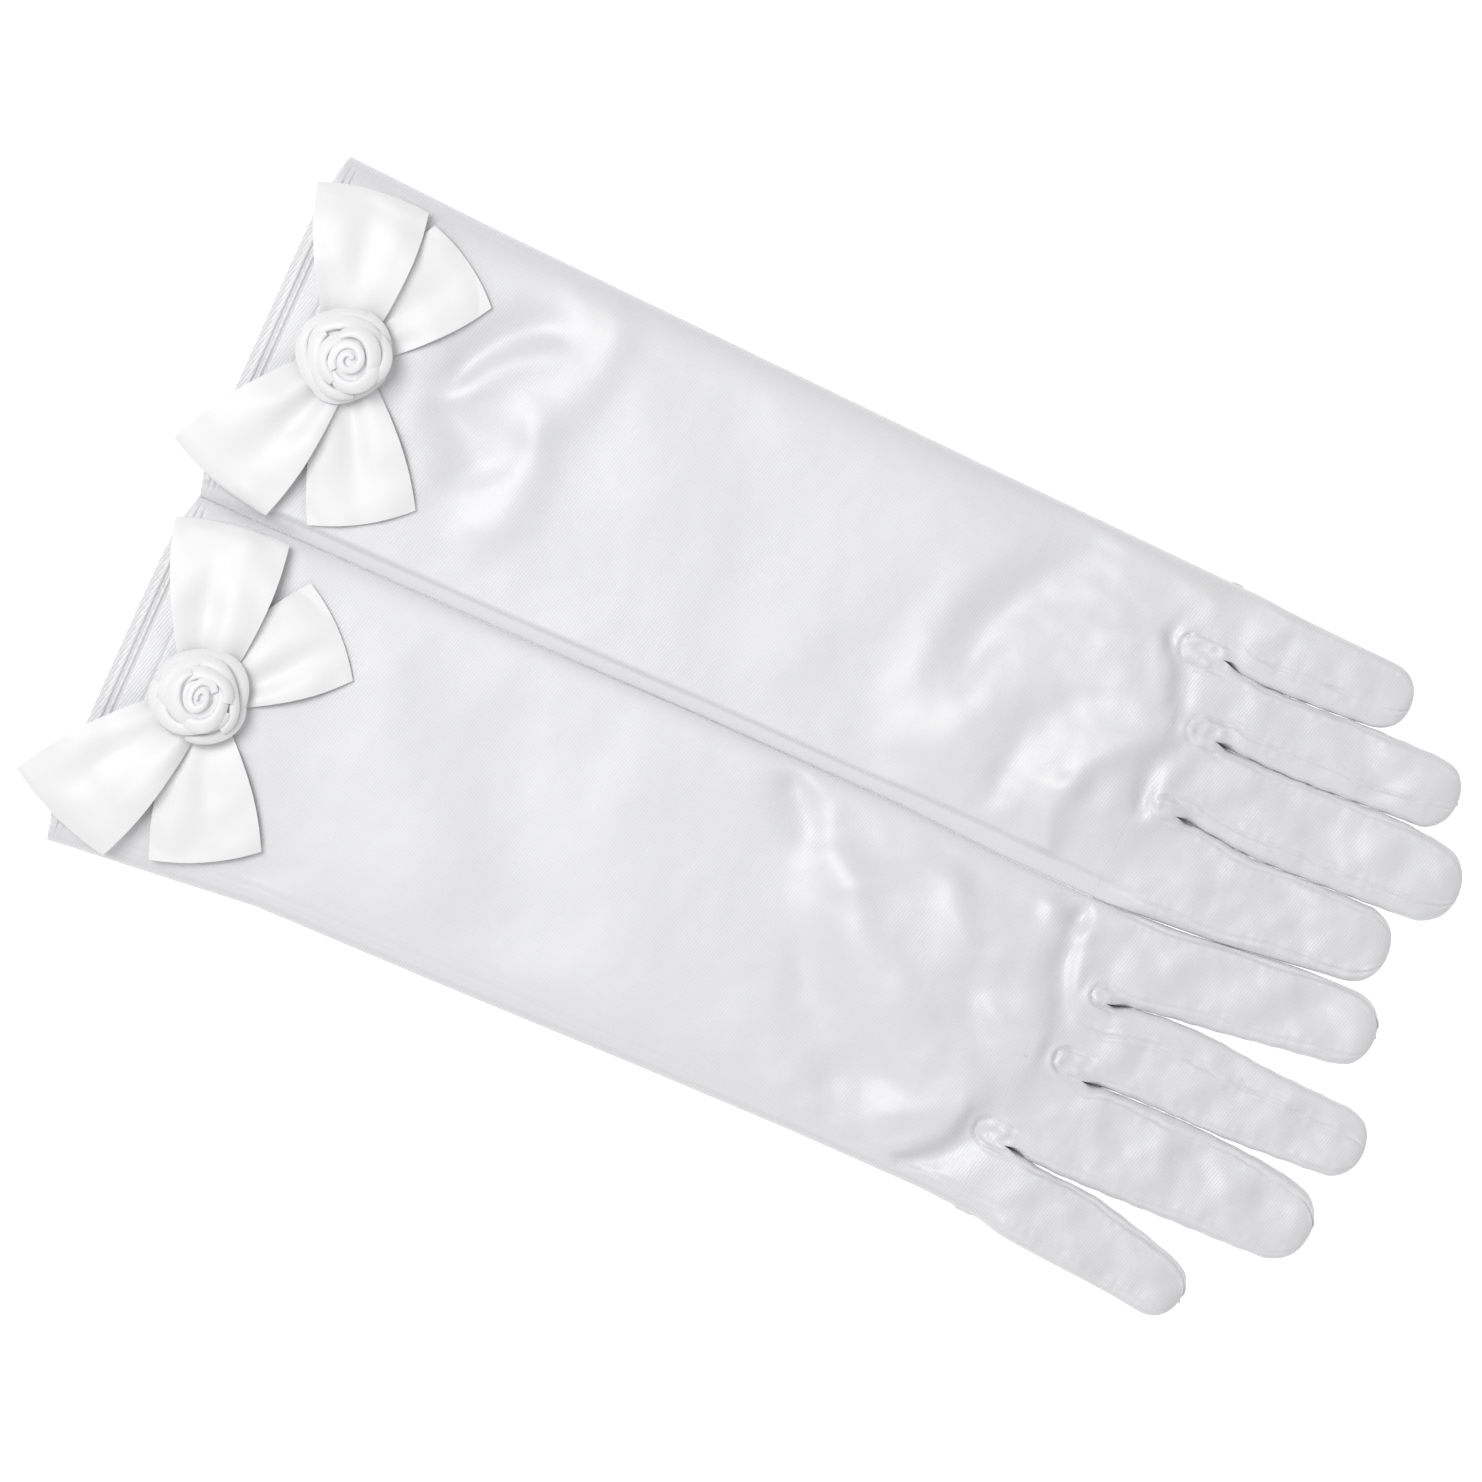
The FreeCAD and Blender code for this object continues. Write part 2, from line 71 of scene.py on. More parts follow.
# Edge lines: v of the index edge and of the little-finger edge along x.
INDEX_EDGE = {
    "left": [(-5, -0.3), (25, -0.3), (83, -0.2), (137, 0.45), (192, 0.3), (220, -1.0), (246, -1.15)],
    "right": [(-5, -0.35), (25, -0.35), (83, -0.4), (137, -1.1), (192, -0.9), (220, 0.4), (246, 0.6)],
}
OUTER_EDGE = {
    "left": [(-5, 92.8), (10, 92.2), (40, 90.8), (100, 88.9), (175, 86.6), (220, 85.5), (246, 84.8)],
    "right": [
        (-5, 94.2), (8, 92.8), (25, 91.0), (55, 87.7), (100, 86.8), (160, 85.2), (200, 84.4),
        (235, 84.3), (246, 85.0),
    ],
}
# v of the cuts between the fingers at the knuckles, and the x of each crotch.
CUTS = {"left": (25.6, 46.6, 66.0), "right": (23.2, 43.4, 66.0)}
CROTCHES = {"left": (256.5, 258.0, 251.5), "right": (259.5, 261.5, 250.5)}
# The rounded end of the strip sewn in at each crotch: centre (x, v), radius, straight length.
KEYHOLES = {
    "left": ((252.3, 26.3, 2.9, 3.0), (253.2, 47.6, 3.9, 5.0), (243.0, 66.0, 3.6, 9.0)),
    "right": ((257.2, 22.0, 2.6, 3.0), (255.8, 40.4, 3.2, 5.0), (244.8, 64.4, 3.2, 6.0)),
}
# Where the seams run along each finger, as a share of its half width, negative to the index side.
SEAMS = {
    "left": {
        "index": (-0.76, 0.86), "middle": (-0.58, 0.88),
        "ring": (-0.42, 0.90), "little": (-0.40, 0.92),
    },
    "right": {
        "index": (-0.90, 0.74), "middle": (-0.30, 0.84),
        "ring": (-0.80, 0.82), "little": (-0.86, 0.76),
    },
}
# Fingers: (x, v, half width) down each one's middle, from the knuckles to the tip.
FINGER_LINES = {
    "left": {
        "index": [
            (246, 12.25, 13.4), (262, 12.65, 12.8), (277, 12.35, 11.35), (290, 13.55, 10.75),
            (305, 14.85, 10.05), (318.5, 15.5, 9.4),
        ],
        "middle": [
            (246, 36.1, 10.5), (262, 35.8, 10.3), (277, 34.9, 11.1), (292, 35.6, 11.1),
            (307, 36.5, 11.3), (319, 36.3, 10.4), (328.5, 36.5, 9.6),
        ],
        "ring": [
            (246, 56.3, 9.7), (262, 55.2, 9.0), (277, 55.3, 9.3), (291, 56.3, 9.5),
            (307, 57.1, 9.1), (319.0, 57.0, 8.9),
        ],
        "little": [
            (246, 75.4, 9.4), (256, 74.3, 10.0), (266, 74.0, 9.7), (280, 74.2, 9.1),
            (291, 74.5, 8.5), (298.5, 74.9, 8.0),
        ],
    },
    "right": {
        "index": [
            (246, 11.95, 11.3), (262, 11.0, 11.3), (272, 9.75, 10.65), (286, 8.05, 10.65),
            (300, 5.95, 10.45), (324.0, 3.8, 9.1),
        ],
        "middle": [
            (246, 33.3, 10.1), (262, 33.0, 10.2), (273, 31.4, 10.9), (286, 31.1, 11.0),
            (300, 31.9, 10.3), (333.0, 31.2, 8.7),
        ],
        "ring": [
            (246, 54.7, 11.3), (262, 55.2, 12.1), (280, 54.7, 12.3), (292, 54.4, 12.1),
            (312, 54.6, 11.3), (329.0, 55.8, 9.4),
        ],
        "little": [
            (246, 75.6, 9.8), (262, 77.6, 9.8), (275, 78.2, 10.1), (290, 80.5, 8.8),
            (306.0, 83.9, 7.5),
        ],
    },
}
# Soft dents in the fingers: (x, v, size, depth).
DENTS = {
    "left": (
        (290, 38, 6, 0.5), (301, 12, 6, 0.5), (283, 72, 6, -0.4),
        (309, 58, 6, -0.5), (274, 56, 7, 0.4),
    ),
    "right": (
        (307, 1, 6, 1.1), (294.8, 24.3, 5, 0.9), (319.7, 31, 5, 0.8),
        (294, 48, 5, 1.0), (316, 50.5, 5, 1.1), (305, 54, 5, -0.6),
        (285, 50, 5, -0.5), (309, 27, 5, -0.5), (296, 6, 6, -0.6),
    ),
}
# Folds of the laid cloth: from (x, v) to (x, v), height, half width, and how one-sided the fold is.
FOLDS = {
    "left": [
        ((47, 51), (66, 74), -1.5, 4.4, 0.7),
        ((80, 82), (70, 50), 0.9, 6.5, 0.0),
        ((70, 50), (69, 20), 1.0, 6.0, 0.4),
        ((47, 44), (60, 31), -1.2, 6.5, 0.5),
        ((88, 70), (98, 40), 0.35, 10.0, 0.3),
        ((110, 78), (132, 30), -0.35, 12.0, 0.0),
        ((150, 20), (178, 66), 0.4, 12.0, 0.0),
        ((193, 35), (211, 76), -1.3, 6.8, 0.6),
        ((181, 30), (198, 74), 0.7, 7.0, 0.0),
        ((212, 14), (226, 46), -1.0, 6.0, 0.4),
        ((229, 6), (228, 22), 1.0, 4.2, 0.0),
        ((228, 22), (246, 42), 1.0, 4.6, 0.2),
        ((247, 24), (249, 42), -1.4, 3.6, 0.4),
        ((236, 66), (245, 50), -1.1, 3.0, 0.5),
        ((222, 60), (240, 64), 0.6, 4.5, 0.0),
        ((222, 84), (246, 76), 0.5, 4.0, 0.0),
    ],
    "right": [
        ((60, 14), (96, 62), 0.55, 13.0, 0.0),
        ((96, 20), (122, 70), -0.45, 13.0, 0.2),
        ((128, 14), (150, 72), 0.4, 13.0, 0.0),
        ((165, 3), (178, 14), -1.1, 5.0, 0.4),
        ((177, 10), (191, 22), 1.1, 5.6, 0.2),
        ((190, 24), (214, 46), 0.9, 8.0, 0.2),
        ((185, 40), (212, 66), -0.8, 8.0, 0.3),
        ((203, 70), (216, 60), -0.5, 7.0, 0.0),
        ((212, 10), (228, 26), 1.0, 5.0, 0.3),
        ((224, 22), (236, 46), -0.5, 6.0, 0.0),
        ((236, 4), (245, 13), 0.9, 4.4, 0.0),
        ((245, 1), (252, 32), -1.4, 3.2, 0.5),
        ((228, 80), (243, 63), -1.5, 3.4, 0.5),
        ((220, 70), (238, 58), 0.8, 5.0, 0.0),
        ((232, 36), (250, 40), 0.5, 4.0, 0.0),
        ((38, 60), (56, 80), -0.7, 7.0, 0.3),
    ],
}
# Bows: centre (x, v); ribbons: angle, reach, half width at the root and at the end, end slant.
BOWS = {"left": (20.1, 46.4), "right": (22.0, 45.0)}
RIBBON_SHAPES = {
    "left": {
        "loop_outer": (104.0, 41.0, 6.6, 14.3, 3.0),
        "loop_inner": (-112.0, 44.5, 6.4, 14.9, -3.0),
        "tail_outer": (61.0, 37.5, 6.4, 12.4, 1.0),
        "tail_inner": (-60.5, 41.5, 6.2, 13.6, -1.0),
    },
    "right": {
        "loop_outer": (117.0, 46.5, 6.4, 15.2, 3.0),
        "loop_inner": (-103.5, 43.0, 6.6, 14.6, -2.0),
        "tail_outer": (65.0, 40.5, 6.2, 14.0, 1.5),
        "tail_inner": (-50.5, 37.0, 6.6, 13.2, -1.5),
    },
}
BOW_BASE = 9.4  # height of the bow's underside
GATHERED = 6.0  # how near the bow's centre a ribbon starts
THUMB_ROOT = (203.0, 16.0)  # (x, v)
THUMB_ANGLE = math.radians(33.0)
THUMB_LONG = 41.5
THUMB_HALF = 9.3  # half its width
THUMB_RISE = 3.2  # how much it lifts the cloth over it
CREASE_GAIN = 1.35  # what every fold's height is multiplied by


def place(points, side):
    """Glove millimetres (x, v, z) to the row frame's metres."""
    p = np.asarray(points, float)
    return np.stack([CUFF_X + p[..., 0] * MM, side * (BETWEEN + p[..., 1] * MM), p[..., 2] * MM], -1)


def spot(x, v, z, side):
    """One point, as place() gives it, in plain numbers."""
    return [float(c) for c in place([x, v, z], side)]


def smooth(t):
    """An even step from 0 to 1 as t goes from 0 to 1."""
    t = np.clip(t, 0, 1)
    return t * t * (3 - 2 * t)


def along_line(points, x):
    """The line's v at x."""
    xs, ys = zip(*points)
    return np.interp(x, xs, ys)


def finger_curve(points):
    """A smooth line (x, v, half width) at 201 even steps, and its length."""
    p = np.array(points, float)
    seg = np.r_[0, np.cumsum(np.linalg.norm(np.diff(p[:, :2], axis=0), axis=1))]
    even = np.linspace(0, seg[-1], 201)
    rough = np.stack([np.interp(even, seg, p[:, k]) for k in range(3)], -1)
    for _ in range(160):
        rough[1:-1] = (rough[:-2] + 2 * rough[1:-1] + rough[2:]) / 4
    return rough, float(seg[-1])


def ripple(x, y, size, seed):
    """Smooth noise over the plan, about -1 to 1."""
    x, y = np.broadcast_arrays(np.asarray(x, float), np.asarray(y, float))
    flat = [
        noise.noise(Vector((a / size, b / size, seed * 7.31)))
        for a, b in zip(x.ravel(), y.ravel())
    ]
    return np.array(flat).reshape(x.shape) * 1.6


def fold_height(glove, x, v):
    """What the laid folds add to the height of the back at (x, v)."""
    total = np.zeros(np.broadcast(x, v).shape)
    for (x0, v0), (x1, v1), high, wide, lean in FOLDS[glove]:
        d = np.array([x1 - x0, v1 - v0], float)
        long = np.linalg.norm(d)
        d /= long
        t = ((x - x0) * d[0] + (v - v0) * d[1]) / long
        bow = 0.10 * long * np.sin(np.pi * np.clip(t, 0, 1))
        off = (x - x0) * -d[1] + (v - v0) * d[0] - bow
        fade = smooth((t + 0.30) / 0.45) * smooth((1.30 - t) / 0.45)
        width = wide * (0.75 + 0.5 * np.clip(t, 0, 1))
        bump = np.exp(-((off / width) ** 2))
        side = 0.9 * (off / width) * np.exp(-((off / (1.5 * width)) ** 2))
        total += CREASE_GAIN * high * fade * (bump + lean * side)
    return total


def thumb_bump(x, v):
    """How much the tucked thumb lifts the cloth over it, from 0 to 1."""
    dx, dv = x - THUMB_ROOT[0], v - THUMB_ROOT[1]
    a = dx * math.cos(THUMB_ANGLE) + dv * math.sin(THUMB_ANGLE)
    b = -dx * math.sin(THUMB_ANGLE) + dv * math.cos(THUMB_ANGLE)
    nearest = np.clip(a, THUMB_HALF, THUMB_LONG - THUMB_HALF)
    away = np.hypot(a - nearest, b) - THUMB_HALF
    return smooth(1.12 - away / 26.0)


def edges(glove, x):
    """v of the index edge and of the little-finger edge at x."""
    return along_line(INDEX_EDGE[glove], x), along_line(OUTER_EDGE[glove], x)


def back_height(glove, x, v):
    """Height of the glove's back at (x, v), which also runs on over the finger roots."""
    low, high = edges(glove, np.clip(x, -5, KNUCKLE))
    s = np.clip((2 * v - low - high) / (high - low), -1, 1)
    plump = HIGH - 0.3 * smooth((x - 225) / 22)
    mouth = 2.4 * smooth((75 - x) / 60) * (1 - np.abs(s) ** 3)
    folded = 0.62 + 0.38 * (1 - np.abs(s) ** 16) ** 0.5
    dome = np.where(s < 0, folded, (1 - np.abs(s) ** 7.0) ** 0.42)
    if glove == "left":
        band = (v - low) / (3.0 + 1.2 * smooth((x - 180) / 40) - 2.4 * smooth((x - 262) / 40))
        bevel = 0.55 + 0.27 * np.clip(band, 0, 1) + 0.18 * smooth((band - 1) / 0.6)
        dome = np.where(s < 0, np.minimum(bevel, 1), dome)
    inside = smooth((1 - np.abs(s)) / 0.16)
    seed = 1.0 if glove == "left" else 2.0
    wave = 0.30 * ripple(x * 0.8, v, 34, seed) + 0.12 * ripple(x, v * 0.8, 13, seed + 3)
    near_hand = smooth((x - 160) / 60)
    fine = (0.05 + 0.10 * near_hand) * ripple(x, v, 5.5, seed + 6)
    relief = inside * (fold_height(glove, x, v) + wave + fine)
    lift = THUMB_RISE * thumb_bump(x, v) * smooth((1 - np.abs(s)) / 0.5)
    # the hem's double row of stitches, and the edge of the cloth turned in
    stitched = -0.75 * np.exp(-(((x - 1.7) / 0.34) ** 2)) - 0.60 * np.exp(-(((x - 3.3) / 0.32) ** 2))
    stitched = stitched - 0.10 * np.exp(-(((x - 9.0) / 0.5) ** 2))
    cloth = 0.2 + (plump + mouth) * dome + relief + lift + stitched * inside
    return cloth + side_seams(glove, x, v, low, high)


def side_seams(glove, x, v, low, high):
    """The long seam beside the edge: on the index side of the left glove, outside on the right."""
    if glove == "left":
        beside = low + 3.0 + 1.2 * smooth((x - 180) / 40)
        lines = ((beside, 0.16, 1.0), (high - 3.0, 0.14, smooth((90 - x) / 60)))
    else:
        lines = ((high - 4.6, 0.22, 1.0), (high - 3.0, 0.16, 1.0))
    total = 0.0
    for at, deep, share in lines:
        stitch = 1 + 0.2 * np.sin(x * 3.1)
        total = total - deep * share * stitch * np.exp(-(((v - at) / 0.7) ** 2))
        total = total + 0.3 * deep * share * np.exp(-(((np.abs(v - at) - 1.4) / 1.0) ** 2))
    return total


def keyholes(glove, x, v):
    """The sewn loops at the crotches."""
    total = 0.0
    for cx, cv, r, straight in KEYHOLES[glove]:
        a, b = x - cx, v - cv
        off = np.where(a < 0, np.hypot(a, b) - r, np.abs(b) - r)
        ends = smooth((straight + 2 - a) / 3.0)
        part = 0.7 + 0.3 * np.sin(1.3 * np.arctan2(b, a) + cx)
        total = total - 0.62 * ends * part * np.exp(-((off / 0.40) ** 2))
        total = total + 0.30 * ends * part * np.exp(-(((off - 1.0) / 0.65) ** 2))
        crumple = ripple(a + 5 * cv, b + cx, 2.4, 51.0)
        within = smooth((r + 0.8 - np.hypot(np.minimum(a, 0), b)) / 0.8)
        total = total + 0.30 * ends * crumple * within
        total = total + ends * 0.28 * np.exp(-(((off + 1.4) / 1.0) ** 2))
        total = total - 0.5 * np.exp(-(((a + r + 2.6) / 1.6) ** 2 + (b / 4.5) ** 2))
    return total


def palm_height(glove, x, v):
    """Height of the glove's palm side, which rises over the tucked thumb."""
    low, high = edges(glove, np.clip(x, -5, KNUCKLE))
    s = np.clip((2 * v - low - high) / (high - low), -1, 1)
    inside = smooth((1 - np.abs(s)) / 0.12)
    lift = THUMB_RISE * thumb_bump(x, v) * smooth((1 - np.abs(s)) / 0.5)
    return 0.25 + 0.45 * (1 - inside) + lift


# ---- meshes -------------------------------------------------------------------------------------


def new_object(name, verts, faces):
    """A smooth-shaded mesh object in the scene, from points in metres."""
    mesh = bpy.data.meshes.new(name)
    mesh.from_pydata([tuple(map(float, v)) for v in verts], [], faces)
    mesh.update()
    obj = bpy.data.objects.new(name, mesh)
    bpy.context.scene.collection.objects.link(obj)
    for polygon in mesh.polygons:
        polygon.use_smooth = True
    return obj


def grid_faces(rows, columns, closed):
    """The quads of a grid of points. A closed one joins its last column to its first."""
    faces = []
    for i in range(rows - 1):
        for j in range(columns if closed else columns - 1):
            k = (j + 1) % columns
            here, following = i * columns, (i + 1) * columns
            faces.append((here + j, here + k, following + k, following + j))
    return faces


def tube_object(name, points, side):
    """Rings of points as a closed tube, with a fan of triangles over the last ring."""
    rings, count = points.shape[:2]
    tip_point = points[-1].mean(0)
    verts = np.concatenate([place(points, side).reshape(-1, 3), place(tip_point[None], side)])
    faces = grid_faces(rings, count, True)
    last = (rings - 1) * count
    faces += [(last + j, last + (j + 1) % count, len(verts) - 1) for j in range(count)]
    return new_object(name, verts, faces)


def apply_modifiers(obj):
    """Turns the object's modifiers into plain mesh."""
    graph = bpy.context.evaluated_depsgraph_get()
    graph.update()
    mesh = bpy.data.meshes.new_from_object(obj.evaluated_get(graph))
    obj.modifiers.clear()
    old = obj.data
    obj.data = mesh
    bpy.data.meshes.remove(old)
    for polygon in mesh.polygons:
        polygon.use_smooth = True


def outward(obj):
    """Points every face outwards."""
    work = bmesh.new()
    work.from_mesh(obj.data)
    bmesh.ops.recalc_face_normals(work, faces=work.faces)
    work.to_mesh(obj.data)
    work.free()


def thicken(obj, thickness, offset=-1.0):
    """Gives a single layer its real thickness, so it is a closed double-walled cloth."""
    shell = obj.modifiers.new("cloth", "SOLIDIFY")
    shell.thickness = thickness * MM
    shell.offset = offset
    shell.use_rim = True
    apply_modifiers(obj)
    obj.data.set_sharp_from_angle(angle=SHARP)


def section_places(count):
    """Positions around a flattened section: s from -1 to 1 over the top, then back below."""
    t = np.linspace(-1, 1, count)
    return np.sign(t) * (1 - (1 - np.abs(t)) ** 1.55)


def make_glove_cloth(glove, side):
    """Sleeve and hand as one piece of cloth from the cuff's edge to the knuckles."""
    # close together over the hem and the knuckles; the last ones dip under the fingers' cloth
    xs = np.r_[
        np.linspace(0, 12, 74),
        np.arange(13.0, 225.0, 1.15),
        np.arange(225.0, KNUCKLE, 0.6),
        KNUCKLE,
        KNUCKLE + 0.7,
    ]
    top = section_places(141)
    bottom = section_places(57)[::-1]
    rows = []
    for x in xs:
        low, high = edges(glove, x)
        near_cuff = smooth((10 - x) / 10)
        mid, half = (low + high) / 2, (high - low) / 2
        v_top = mid + half * top
        z_top = back_height(glove, x, v_top) + keyholes(glove, x, v_top)
        if x > KNUCKLE - 0.3:
            z_top = np.maximum(z_top - 0.25, 0.3)
        v_bot = mid + half * bottom[1:-1]
        v_bot[-1] = low - 0.06
        z_bot = palm_height(glove, x, v_bot)
        x_top = x + near_cuff * (0.7 - 0.9 * (1 - top**4))
        x_bot = x + near_cuff * (0.7 - 3.0 * (1 - np.abs(bottom[1:-1]) ** 6))
        row_top = np.stack([x_top, v_top, z_top], -1)
        row_bot = np.stack([x_bot, v_bot, z_bot], -1)
        rows.append(np.concatenate([row_top, row_bot]))
    points = np.array(rows)
    verts = place(points, side).reshape(-1, 3)
    obj = new_object(f"{glove}_glove_cloth", verts, grid_faces(len(xs), points.shape[1], True))
    outward(obj)
    thicken(obj, CLOTH)
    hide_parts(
        f"{glove}_sleeve_back",
        f"{glove}_sleeve_palm",
        f"{glove}_hand_back",
        f"{glove}_hand_palm",
        f"{glove}_crotch_gussets",
        f"{glove}_cuff_hem",
        f"{glove}_side_seam",
    )
    obj.data.materials.append(SATIN)
    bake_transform(obj)


def finger_section(glove, finger, curve, long, t):
    """One ring of a finger, at the share t of its length.

    Gives its middle, the way across, its half width, how far the rounded tip has closed, and for
    each side how open the cut beside it is and how far the edge is drawn in from the middle of it.
    """
    k = FINGERS.index(finger)
    at = np.array([np.interp(t * 200, np.arange(201), curve[:, n]) for n in range(3)])
    near = int(np.clip(round(t * 200), 4, 196))
    direction = curve[near + 4, :2] - curve[near - 4, :2]
    turned = smooth(t / 0.25)
    direction = np.array([1.0, 0.0]) * (1 - turned) + direction / np.linalg.norm(direction) * turned
    direction /= np.linalg.norm(direction)
    across = np.array([-direction[1], direction[0]])
    half = at[2]
    left = long * (1 - t)
    cap = max(1 - (1 - min(left / (1.05 * half), 1)) ** 2.7, 0.0) ** (1 / 2.1)
    sides = []
    for c in (k - 1, k):
        if 0 <= c <= 2:
            past = at[0] - CROTCHES[glove][c]
            opened = float(smooth((past + 1.5) / 7.0))
            wander = 0.10 * math.sin(past * 0.9 + 2 * c) * float(smooth(past / 6))
            gap = 0.75 * math.exp(-(((past - 2.6) / 2.2) ** 2)) - 0.07 * (1 - opened)
            gap += wander * (1 if c == k else -1)
            sides.append((opened, gap))
        else:
            sides.append((1.0, 0.0))
    return at[:2], across, half, cap, sides


def make_finger(glove, side, finger):
    """A finger with its back, its palm side, the two side strips and the seams between them."""
    curve, long = finger_curve(FINGER_LINES[glove][finger])
    k = FINGERS.index(finger)
    cuts = (edges(glove, KNUCKLE)[0], *CUTS[glove], edges(glove, KNUCKLE)[1])
    cut_a, cut_b = cuts[k], cuts[k + 1]
    seed = 11.0 + k + (5 if glove == "right" else 0)
    fine_end = 1 - np.cumsum(np.r_[0, np.linspace(0.0008, 0.008, 20)])[::-1]
    ts = np.r_[-0.75 / long, -0.3 / long, np.linspace(0, fine_end[0], 130)[:-1], fine_end]
    top = section_places(65)
    wall = np.linspace(0, 1, 9)[1:-1]
    rows = []
    for t in ts:
        start = min(t, 0.0) * long
        t = min(max(t, 0.0), 1.0)
        dist = t * long
        centre, across, half, cap, opening = finger_section(glove, finger, curve, long, t)
        centre = centre + np.array([start, 0.0])
        share = smooth(dist / 14.0)
        own_a, own_b = -half * cap, half * cap
        a_v = (1 - share) * (cut_a - centre[1]) + share * own_a
        b_v = (1 - share) * (cut_b - centre[1]) + share * own_b
        if opening[0][0] < 1:
            a_v = a_v * opening[0][0] + (1 - opening[0][0]) * (cut_a - centre[1])
        if opening[1][0] < 1:
            b_v = b_v * opening[1][0] + (1 - opening[1][0]) * (cut_b - centre[1])
        base_a, base_b = a_v - (0.1 if k == 0 else 0.0), b_v
        a_v += opening[0][1]
        b_v -= opening[1][1]
        s = top
        offset = (a_v + b_v) / 2 + (b_v - a_v) / 2 * s
        xy = centre[None] + offset[:, None] * across[None]
        side_open = np.where(s < 0, opening[0][0], opening[1][0])
        fat = 5.4 - 1.5 * smooth((dist - 10) / 40)
        body_z = 0.5 + fat * (0.42 + 0.58 * (1 - np.abs(s) ** 7.5) ** 0.52) * (0.35 + 0.65 * cap)
        seam, groove, pucker = 0.0, 0.0, 0.0
        for at, deep in zip(SEAMS[glove][finger], (0.40, 0.16)):
            bent = at + 0.04 * math.sin(dist * 0.21 + seed) - 0.10 * np.sign(at) * (1 - cap)
            off = (s - bent) * half
            held = smooth((cap - 0.15) / 0.3) * smooth((dist - 6) / 6)
            uneven = float(ripple(dist, 0.0, 5.0, seed + 20 + deep))
            groove = groove - deep * held * np.exp(-((off / 0.40) ** 2)) * (0.8 + 0.5 * uneven)
            seam = seam + 0.45 * deep * held * np.exp(-(((np.abs(off) - 0.95) / 0.6) ** 2))
            tuck = float(ripple(dist, 3.0, 1.7, seed + 30 + deep))
            pucker = pucker + 0.10 * held * tuck * np.exp(-(((np.abs(off) - 1.2) / 1.1) ** 2))
        lumps = 0.55 * ripple(xy[:, 0], xy[:, 1], 10.5, seed)
        lumps = lumps + 0.18 * ripple(xy[:, 0], xy[:, 1], 5.0, seed + 2)
        for dx, dv, size, deep in DENTS[glove]:
            away = ((xy[:, 0] - dx) ** 2 + (xy[:, 1] - dv) ** 2) / size**2
            lumps = lumps - deep * np.exp(-away)
        grown = smooth((dist - 3) / 10)
        dents = lumps * (1 - np.abs(s) ** 4) * (0.4 + 0.6 * cap)
        body_z = body_z + grown * (seam + groove + pucker + dents)
        hand_z = back_height(glove, xy[:, 0], xy[:, 1])
        near_edge = smooth((1 - np.abs(s)) / 0.6)
        own = share * (side_open * (1 - near_edge) + near_edge)
        z = hand_z * (1 - own) + body_z * own
        z = np.maximum(z + keyholes(glove, xy[:, 0], xy[:, 1]), 0.55) + 0.03 * smooth((3 - dist) / 3)
        flat_z = 0.25 + 0.35 * np.abs(s) ** 6
        base_z = palm_height(glove, xy[:, 0], xy[:, 1]) * (1 - share) + flat_z * share
        ring = [np.stack([xy[:, 0], xy[:, 1], z], -1)]
        low_offset = (base_a + base_b) / 2 + (base_b - base_a) / 2 * s
        low_xy = centre[None] + low_offset[:, None] * across[None]
        end_b = ring[0][-1]
        low_b = np.array([low_xy[-1, 0], low_xy[-1, 1], base_z[-1]])
        ring.append(end_b[None] * (1 - wall[:, None]) + low_b[None] * wall[:, None])
        under = slice(None, None, -2)
        ring.append(np.stack([low_xy[under, 0], low_xy[under, 1], base_z[under]], -1))
        end_a = np.array([low_xy[0, 0], low_xy[0, 1], base_z[0]])
        ring.append(end_a[None] * (1 - wall[:, None]) + ring[0][0][None] * wall[:, None])
        rows.append(np.concatenate(ring))
    obj = tube_object(f"{glove}_{finger}_cloth", np.array(rows), side)
    outward(obj)
    thicken(obj, CLOTH)
    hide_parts(*(f"{glove}_{finger}_{p}" for p in ("palm", "back", "fourchettes")))
    obj.data.materials.append(SATIN)
    mid, root = curve[0, 1], curve[0, 2]
    start, end = spot(246.5, mid, 3, side), spot(260, mid, 3, side)
    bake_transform(obj)


def make_thumb(glove, side):
    """The thumb, pressed flat under the palm, with its root turned up into the hand."""
    rows = []
    angles = np.linspace(0, 2 * np.pi, 48, endpoint=False)
    ts = np.r_[np.linspace(0, 0.9, 40), 0.925, 0.95, 0.97, 0.985, 0.995, 1.0]
    for t in ts:
        a = -1.0 + t * (THUMB_LONG + 1.0)
        left = THUMB_LONG - a
        half = THUMB_HALF * (1 - 0.12 * t)
        if left < half:
            half *= math.sqrt(max(1 - (1 - left / half) ** 2, 0.0004))
        front = a + 1.0
        if front < half:
            half *= math.sqrt(max(1 - (1 - front / half) ** 2.2, 0.0)) * 0.75 + 0.25
        lift = 1.1 * (1 - smooth(a / 12))
        b = half * np.sign(np.cos(angles)) * np.abs(np.cos(angles)) ** 0.8
        z = 1.55 + lift + 1.35 * np.sign(np.sin(angles)) * np.abs(np.sin(angles)) ** 0.6
        x = THUMB_ROOT[0] + a * math.cos(THUMB_ANGLE) - b * math.sin(THUMB_ANGLE)
        v = THUMB_ROOT[1] + a * math.sin(THUMB_ANGLE) + b * math.cos(THUMB_ANGLE)
        z = z + 0.12 * ripple(x, v, 6, 31.0) * (np.sin(angles) > 0)
        z = np.clip(z, 0.08, None)
        rows.append(np.stack([x, v, z], -1))
    obj = tube_object(f"{glove}_thumb_cloth", np.array(rows), side)
    outward(obj)
    thicken(obj, THUMB_CLOTH)
    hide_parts(f"{glove}_thumb_front", f"{glove}_thumb_back")
    obj.data.materials.append(SATIN)
    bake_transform(obj)


# ---- bow and rose -------------------------------------------------------------------------------


